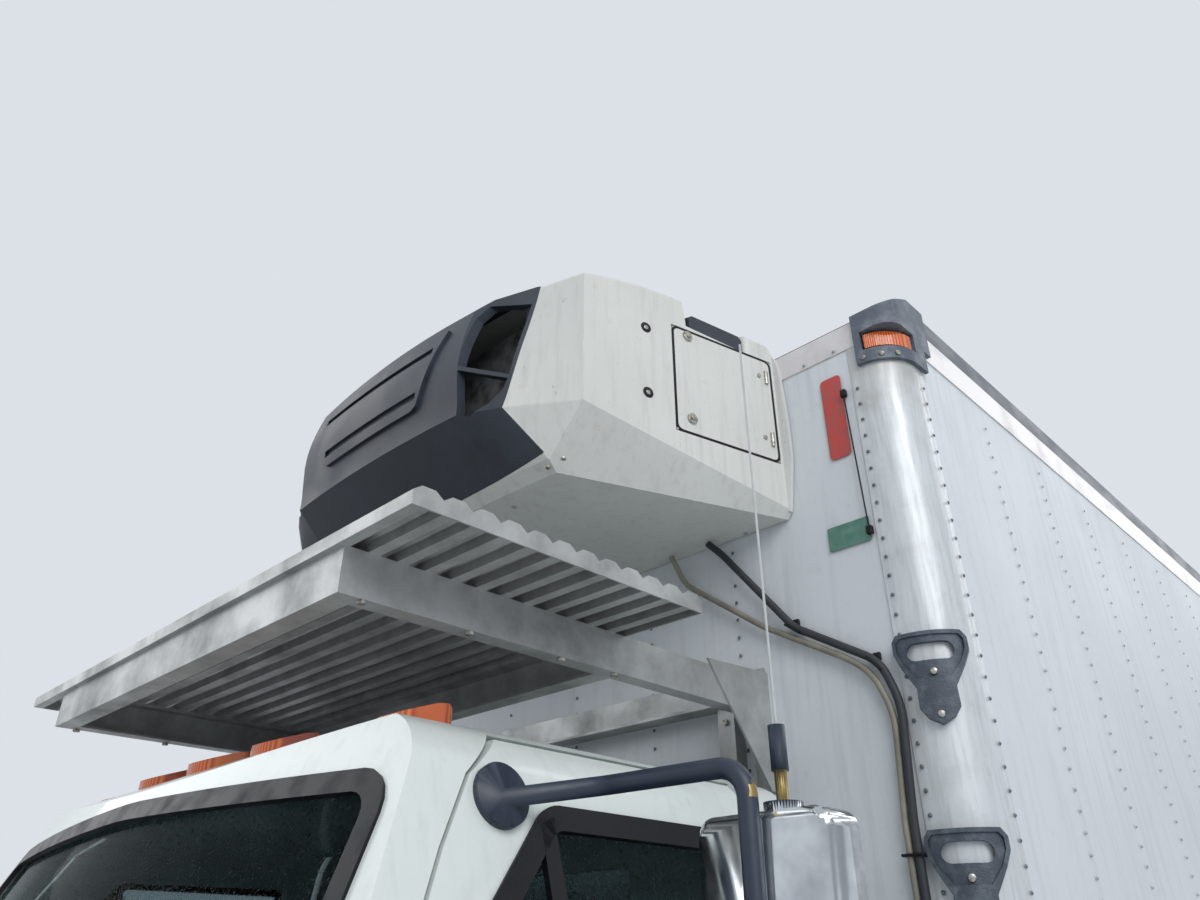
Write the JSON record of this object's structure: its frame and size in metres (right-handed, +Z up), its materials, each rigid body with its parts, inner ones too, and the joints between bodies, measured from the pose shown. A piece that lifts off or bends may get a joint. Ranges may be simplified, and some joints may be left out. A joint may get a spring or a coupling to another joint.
{
  "type": "refrigerated truck",
  "caption": "Two-axle refrigerated truck: conventional day cab with tilting hood, riveted insulated box, nose-mounted cooling unit, work deck, hinged rear doors, steering and rolling wheels.",
  "frame": {"origin": "on the ground under the middle of the truck's overall length and width", "axes": "+Z up, +Y towards the rear doors, +X towards the truck's left side; the cab faces -Y"},
  "size_m": [2.776, 9.03, 3.671],
  "materials": {
    "chassis_black": "satin black",
    "bumper_steel": "gloss white",
    "spring_steel": "dull",
    "engine_grey": "dull",
    "tank_aluminium": "satin",
    "exhaust_steel": "heat stained",
    "cab_paint": "gloss",
    "glass": "tinted",
    "amber_lens": "lit",
    "dash_plastic": "grained",
    "seat_fabric": "woven",
    "floor_aluminium": "worn",
    "box_paint": "satin",
    "roof_edge": "satin",
    "post_aluminium": "stained satin",
    "cap_casting": "satin",
    "rail_paint": "satin",
    "stainless": "brushed",
    "unit_plastic": "scuffed",
    "unit_dark": "satin",
    "unit_steel": "dull",
    "deck_aluminium": "weathered",
    "step_casting": "satin",
    "hose_rubber": "matte",
    "hose_vinyl": "weathered",
    "flap_rubber": "matte",
    "red_lens": "clear lens",
    "grille_dark": "satin",
    "lamp_glass": "clear lens",
    "mirror_black": "satin",
    "wheel_white": "gloss",
    "tyre": "matte"
  },
  "bodies": {
    "chassis": {"frame": "chassis_black", "bumper": "bumper_steel", "front_axle": "chassis_black", "leaf_springs": "spring_steel", "rear_axle": "chassis_black", "driveshaft": "chassis_black", "engine": "engine_grey", "tanks": "tank_aluminium", "battery_box": "tank_aluminium", "exhaust": "exhaust_steel", "cab_shell": "cab_paint", "cab_glass": "glass", "marker_lamps": "amber_lens", "dashboard": "dash_plastic", "seats": "seat_fabric", "box_floor": "floor_aluminium", "box_front_wall": "box_paint", "box_side_walls": "box_paint", "box_roof": "roof_edge", "corner_posts": "post_aluminium", "corner_caps": "cap_casting", "box_rails": "rail_paint", "rear_frame": "stainless", "unit_shell": "unit_plastic", "unit_grille": "unit_dark", "unit_works": "unit_steel", "evaporator": "unit_plastic", "deck": "deck_aluminium", "deck_frame": "deck_aluminium", "side_steps": "step_casting", "drain_hose": "hose_rubber", "wiring_conduit": "hose_vinyl", "mud_flaps": "flap_rubber", "rear_guard": "chassis_black", "tail_lamps": "red_lens"},
    "hood": {"hood": "cab_paint", "hood_grille": "grille_dark", "headlamps": "lamp_glass"},
    "cab_door_left": {"door_left": "cab_paint", "door_glass_left": "glass", "mirror_left": "mirror_black"},
    "cab_door_right": {"door_right": "cab_paint", "door_glass_right": "glass", "mirror_right": "mirror_black"},
    "rear_door_left": {"box_door_left": "box_paint"},
    "rear_door_right": {"box_door_right": "box_paint"},
    "service_door_left": {"unit_door_left": "unit_plastic"},
    "service_door_right": {"unit_door_right": "unit_plastic"},
    "knuckle_left": {"knuckle_left": "chassis_black"},
    "knuckle_right": {"knuckle_right": "chassis_black"},
    "tie_rod": {"tie_rod": "chassis_black"},
    "front_wheel_left": {"rim_front_left": "wheel_white", "tyre_front_left": "tyre"},
    "front_wheel_right": {"rim_front_right": "wheel_white", "tyre_front_right": "tyre"},
    "rear_wheels_left": {"rims_rear_left": "wheel_white", "tyres_rear_left": "tyre"},
    "rear_wheels_right": {"rims_rear_right": "wheel_white", "tyres_rear_right": "tyre"}
  },
  "joints": [
    {"name": "hood_tilt", "type": "hinge", "parent": "chassis", "child": "hood", "pos_m": [0, -4.433, 0.805], "axis": [1, 0, 0], "range_deg": [0, 65]},
    {"name": "cab_door_left_swing", "type": "hinge", "parent": "chassis", "child": "cab_door_left", "pos_m": [1.035, -2.945, 1.5], "axis": [0, 0, -1], "range_deg": [0, 72]},
    {"name": "cab_door_right_swing", "type": "hinge", "parent": "chassis", "child": "cab_door_right", "pos_m": [-1.035, -2.945, 1.5], "axis": [0, 0, 1], "range_deg": [0, 72]},
    {"name": "rear_door_left_swing", "type": "hinge", "parent": "chassis", "child": "rear_door_left", "pos_m": [1.252, 4.457, 2.32], "axis": [0, 0, -1], "range_deg": [0, 250]},
    {"name": "rear_door_right_swing", "type": "hinge", "parent": "chassis", "child": "rear_door_right", "pos_m": [-1.252, 4.457, 2.32], "axis": [0, 0, 1], "range_deg": [0, 250]},
    {"name": "service_door_left_swing", "type": "hinge", "parent": "chassis", "child": "service_door_left", "pos_m": [0.842, -1.695, 3.288], "axis": [0, 0, 1], "range_deg": [0, 90]},
    {"name": "service_door_right_swing", "type": "hinge", "parent": "chassis", "child": "service_door_right", "pos_m": [-0.842, -1.695, 3.288], "axis": [0, 0, -1], "range_deg": [0, 90]},
    {"name": "steer_left", "type": "hinge", "parent": "chassis", "child": "knuckle_left", "pos_m": [0.88, -3.565, 0.465], "axis": [0, 0, 1], "range_deg": [-36, 36]},
    {"name": "steer_right", "type": "hinge", "parent": "chassis", "child": "knuckle_right", "pos_m": [-0.88, -3.565, 0.465], "axis": [0, 0, 1], "range_deg": [-36, 36]},
    {"name": "tie_rod_swing", "type": "hinge", "parent": "knuckle_left", "child": "tie_rod", "pos_m": [0.84, -3.375, 0.339], "axis": [0, 0, 1], "range_deg": [-36, 36]},
    {"name": "front_wheel_left_spin", "type": "hinge", "parent": "knuckle_left", "child": "front_wheel_left", "pos_m": [1.015, -3.565, 0.465], "axis": [1, 0, 0], "continuous": true},
    {"name": "front_wheel_right_spin", "type": "hinge", "parent": "knuckle_right", "child": "front_wheel_right", "pos_m": [-1.015, -3.565, 0.465], "axis": [1, 0, 0], "continuous": true},
    {"name": "rear_wheels_left_spin", "type": "hinge", "parent": "chassis", "child": "rear_wheels_left", "pos_m": [0.915, 2.065, 0.465], "axis": [1, 0, 0], "continuous": true},
    {"name": "rear_wheels_right_spin", "type": "hinge", "parent": "chassis", "child": "rear_wheels_right", "pos_m": [-0.915, 2.065, 0.465], "axis": [1, 0, 0], "continuous": true}
  ],
  "couplings": [
    {"joint": "steer_right", "follows": "steer_left", "ratio": 1},
    {"joint": "tie_rod_swing", "follows": "steer_left", "ratio": -1}
  ]
}
